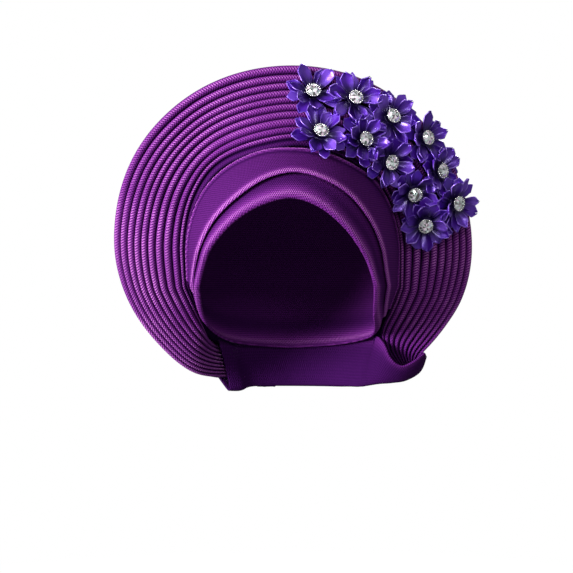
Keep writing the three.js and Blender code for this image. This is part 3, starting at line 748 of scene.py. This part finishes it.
def flower_seat(number):
    """The place of a flower as its solids have it: base, turn and facing as a matrix, and the reach of
    its lower petals, in millimetres."""
    corners = {
        kind: np.array([v.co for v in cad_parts[f"{kind}_{number}"].data.vertices]) / MM
        for kind in ("stone", "flower")
    }
    stone = corners["stone"]
    middle = stone.mean(0)
    _, axes = np.linalg.eigh(np.cov((stone - middle).T))
    facing = axes[:, 0] * -np.sign(axes[1, 0])
    base = middle + facing * (((stone - middle) @ facing).min() - STONE_SEAT)
    away = corners["flower"] - base
    aside = away - np.outer(away @ facing, facing)
    reach = np.linalg.norm(aside, axis=1)
    tip = aside[reach.argmax()]
    near = np.linalg.norm(aside - tip, axis=1) < SOLID_TIP
    spoke = unit(aside[near].mean(0))
    turned = np.stack([spoke, np.cross(facing, spoke), facing], 1)
    seat = Matrix(turned.tolist()).to_4x4()
    seat.translation = base.tolist()
    return seat, reach.max()


def add_petal(bm, light, seat, swung, length, lift, steepness):
    """One petal with a pointed tip, cupped and creased along its middle, and pressed flat where it would
    dip into the pleats."""
    columns, rows = PETAL_GRID
    cup, crease = random.uniform(*PETAL_CUP), random.uniform(*PETAL_CREASE)
    outline = [*PETAL_OUTLINE, (random.uniform(*PETAL_CORNERS), PETAL_WIDEST), (1, PETAL_TIP)]
    made = bmesh.ops.create_grid(bm, x_segments=columns, y_segments=rows, size=0.5, calc_uvs=True)
    # This petal's share of painted sheen.
    lit = random.choice(PETAL_SHEEN_SHARES)
    for vert in made["verts"]:
        vert[light] = lit
        share, side = vert.co.x + 0.5, 2 * vert.co.y
        half = np.interp(share, *np.transpose(outline))
        solid_rise = np.interp(share, *np.transpose(PETAL_RISE))
        rise = lift + steepness * solid_rise
        curl = (cup * side**2 + crease * abs(side)) * math.sin(math.pi * min(share, PETAL_CURL_END))
        point = swung @ Vector((PETAL_START + length * share, half * side, rise + curl))
        floor = PETAL_FLOOR["height"] + PETAL_FLOOR["slope"] * solid_rise
        if point.z < floor:
            point.z = blend(floor, point.z, PETAL_FLOOR["press"])
        vert.co = seat @ point * MM


def make_flower(number):
    """A ribbon flower: tiers of petals on a pad, and its stone in its cup."""
    seat, reach = flower_seat(number)
    bm = bmesh.new()
    bm.loops.layers.uv.verify()
    # Each petal's share of painted sheen.
    light = bm.verts.layers.float.new("petal_sheen")
    for count, first, past, lift, steepness in PETAL_TIERS:
        for k in range(count):
            turn, tilt, roll, stretch = (random.uniform(-1, 1) * spread for spread in PETAL_SPREAD.values())
            swung = Matrix.Rotation(math.radians(first + 360 * k / count + turn), 4, "Z")
            for swing, axis in ((tilt, "Y"), (roll, "X")):
                swung = swung @ Matrix.Rotation(math.radians(swing), 4, axis)
            add_petal(bm, light, seat, swung, (reach + past - PETAL_START) * (1 + stretch), lift, steepness)
    smooth_faces(bm)
    petals = new_piece(f"ribbon_petals_{number}", bm, SATIN, f"flower_{number}")
    add_wall(petals, PETAL_WALL)
    make_pad(number, Matrix.Scale(MM, 4) @ seat)
    to_place = Matrix.Scale(MM, 4) @ seat @ Matrix.Translation((0, 0, STONE_SEAT))
    make_stone(number, to_place)
    make_cup(number, to_place)


def make_pad(number, to_place):
    """The round pad under the petals."""
    bm = bmesh.new()
    bmesh.ops.create_cone(
        bm, cap_ends=True, segments=FLOWER_PAD["sides"], radius1=FLOWER_PAD["radius"],
        radius2=FLOWER_PAD["top"], depth=FLOWER_PAD["height"], calc_uvs=True)
    bmesh.ops.translate(bm, verts=bm.verts, vec=(0, 0, FLOWER_PAD["height"] / 2))
    bmesh.ops.bevel(
        bm, geom=bm.edges[:], offset=FLOWER_PAD["round"], offset_type="OFFSET", affect="EDGES",
        segments=FLOWER_PAD["round_steps"], profile=0.5, material=-1)
    bmesh.ops.transform(bm, matrix=to_place, verts=bm.verts)
    new_piece(f"ribbon_pad_{number}", bm, SATIN, f"flower_{number}")


def make_stone(number, to_place):
    """A cut stone with a table and a faceted crown."""
    bm = bmesh.new()
    facet_reflection = bm.faces.layers.float.new("facet_reflection")
    tint = bm.faces.layers.float.new("tint")
    sides = STONE["sides"]
    bmesh.ops.create_cone(
        bm, cap_ends=True, segments=sides, radius1=STONE["girdle"], radius2=STONE["table"],
        depth=STONE["crown"])
    crown = [vert for vert in bm.verts if vert.co.z > 0]
    bmesh.ops.rotate(bm, verts=crown, matrix=Matrix.Rotation(math.pi / sides, 3, "Z"))
    table = [face for face in bm.faces if face.normal.z > 0 and len(face.verts) == sides]
    bmesh.ops.poke(bm, faces=table, offset=STONE["peak"])
    bmesh.ops.triangulate(bm, faces=[face for face in bm.faces if len(face.verts) == 4])
    for face in bm.faces:
        # Each facet's painted reflection and painted iridescence.
        face[facet_reflection] = random.choice(FACET_REFLECTIONS)
        face[tint] = random.random()
    lift = Matrix.Translation((0, 0, STONE["girdle_z"] + STONE["crown"] / 2))
    bmesh.ops.transform(bm, matrix=to_place @ lift, verts=bm.verts)
    new_piece(f"cut_stone_{number}", bm, CRYSTAL, f"stone_{number}")


def make_cup(number, to_place):
    """The pressed cup of a stone, with a beaded rim."""
    bm = bmesh.new()
    profile = [bm.verts.new((radius, 0, height)) for radius, height in CUP_PROFILE]
    edges = [bm.edges.new(pair) for pair in zip(profile, profile[1:])]
    bmesh.ops.spin(
        bm, geom=profile + edges, cent=(0, 0, 0), axis=(0, 0, 1), angle=2 * math.pi, steps=CUP_STEPS,
        use_merge=True)
    bmesh.ops.remove_doubles(bm, verts=bm.verts, dist=SAME_PLACE)
    for k in range(BEADS["count"]):
        turn = Matrix.Rotation(2 * math.pi * k / BEADS["count"], 4, "Z")
        bmesh.ops.create_uvsphere(
            bm, u_segments=BEADS["around"], v_segments=BEADS["up"], radius=BEADS["radius"],
            matrix=turn @ Matrix.Translation((BEADS["ring"], 0, BEADS["z"])))
    bmesh.ops.recalc_face_normals(bm, faces=bm.faces)
    smooth_faces(bm)
    bmesh.ops.transform(bm, matrix=to_place, verts=bm.verts)
    new_piece(f"stone_cup_{number}", bm, METAL, f"stone_{number}")


def stage_piece(name, bm, material):
    """A floor or backdrop: the camera sees it, and it throws no light on the object."""
    piece = mesh_object(name, bm, material)
    piece.visible_diffuse = piece.visible_glossy = piece.visible_shadow = False


def pale_paper(name, near, far):
    """White paper that takes shadows near the object and fades to the backdrop's own white."""
    paper = Finish(name, Base_Color=PAPER_WHITE, Roughness=PAPER_ROUGHNESS)
    place = paper.node("ShaderNodeTexCoord", output="Object")
    away = paper.node("ShaderNodeVectorMath", {"operation": "LENGTH"}, {0: place}, output="Value")
    glow = paper.node("ShaderNodeEmission", (), {"Color": (1, 1, 1, 1), "Strength": 1.0})
    matt = Value(paper, paper.shader.outputs[0])
    mixed = paper.node("ShaderNodeMixShader", (), {0: away.ramp(near, far), 1: matt, 2: glow})
    paper.tree.links.new(mixed.socket, paper.tree.nodes["Material Output"].inputs["Surface"])
    return paper.material


def make_studio():
    """A pale floor and backdrop, soft light from the upper left and the camera in front."""
    bm = bmesh.new()
    bmesh.ops.create_circle(bm, cap_ends=True, segments=FLOOR["sides"], radius=FLOOR["radius"])
    bmesh.ops.translate(bm, verts=bm.verts, vec=(0, 0, FLOOR["z"]))
    stage_piece("floor", bm, pale_paper("floor_paper", *FLOOR["shadows_until"]))
    bm = bmesh.new()
    bmesh.ops.create_uvsphere(
        bm, u_segments=BACKDROP["around"], v_segments=BACKDROP["up"], radius=BACKDROP["radius"])
    stage_piece("backdrop", bm, pale_paper("backdrop_paper", *BACKDROP["shadows_until"]))

    world = bpy.data.worlds.new("studio")
    bpy.context.scene.world = world
    world.use_nodes = True
    world.node_tree.nodes["Background"].inputs["Color"].default_value = (1, 1, 1, 1)
    world.node_tree.nodes["Background"].inputs["Strength"].default_value = AMBIENT

    for name, place, size, power in LIGHTS:
        data = bpy.data.lights.new(name, "AREA")
        data.size, data.energy = size, power
        light = bpy.data.objects.new(name, data)
        light.location = place
        light.rotation_euler = (Vector(LIGHT_AIM) - Vector(place)).to_track_quat("-Z", "Y").to_euler()
        bpy.context.scene.collection.objects.link(light)

    lens = bpy.data.cameras.new("front")
    lens.lens, lens.sensor_width = CAMERA["lens"], CAMERA["sensor"]
    camera = bpy.data.objects.new("front", lens)
    camera.location = CAMERA["place"]
    camera.rotation_euler = (math.pi / 2, 0, 0)
    bpy.context.scene.collection.objects.link(camera)
    bpy.context.scene.camera = camera
    bpy.context.scene.view_settings.view_transform = "Standard"


make_studio()
make_cap()
make_front_band()
make_fan()
make_nape_wrap()
for count in range(1, FLOWERS + 1):
    make_flower(f"{count:02d}")
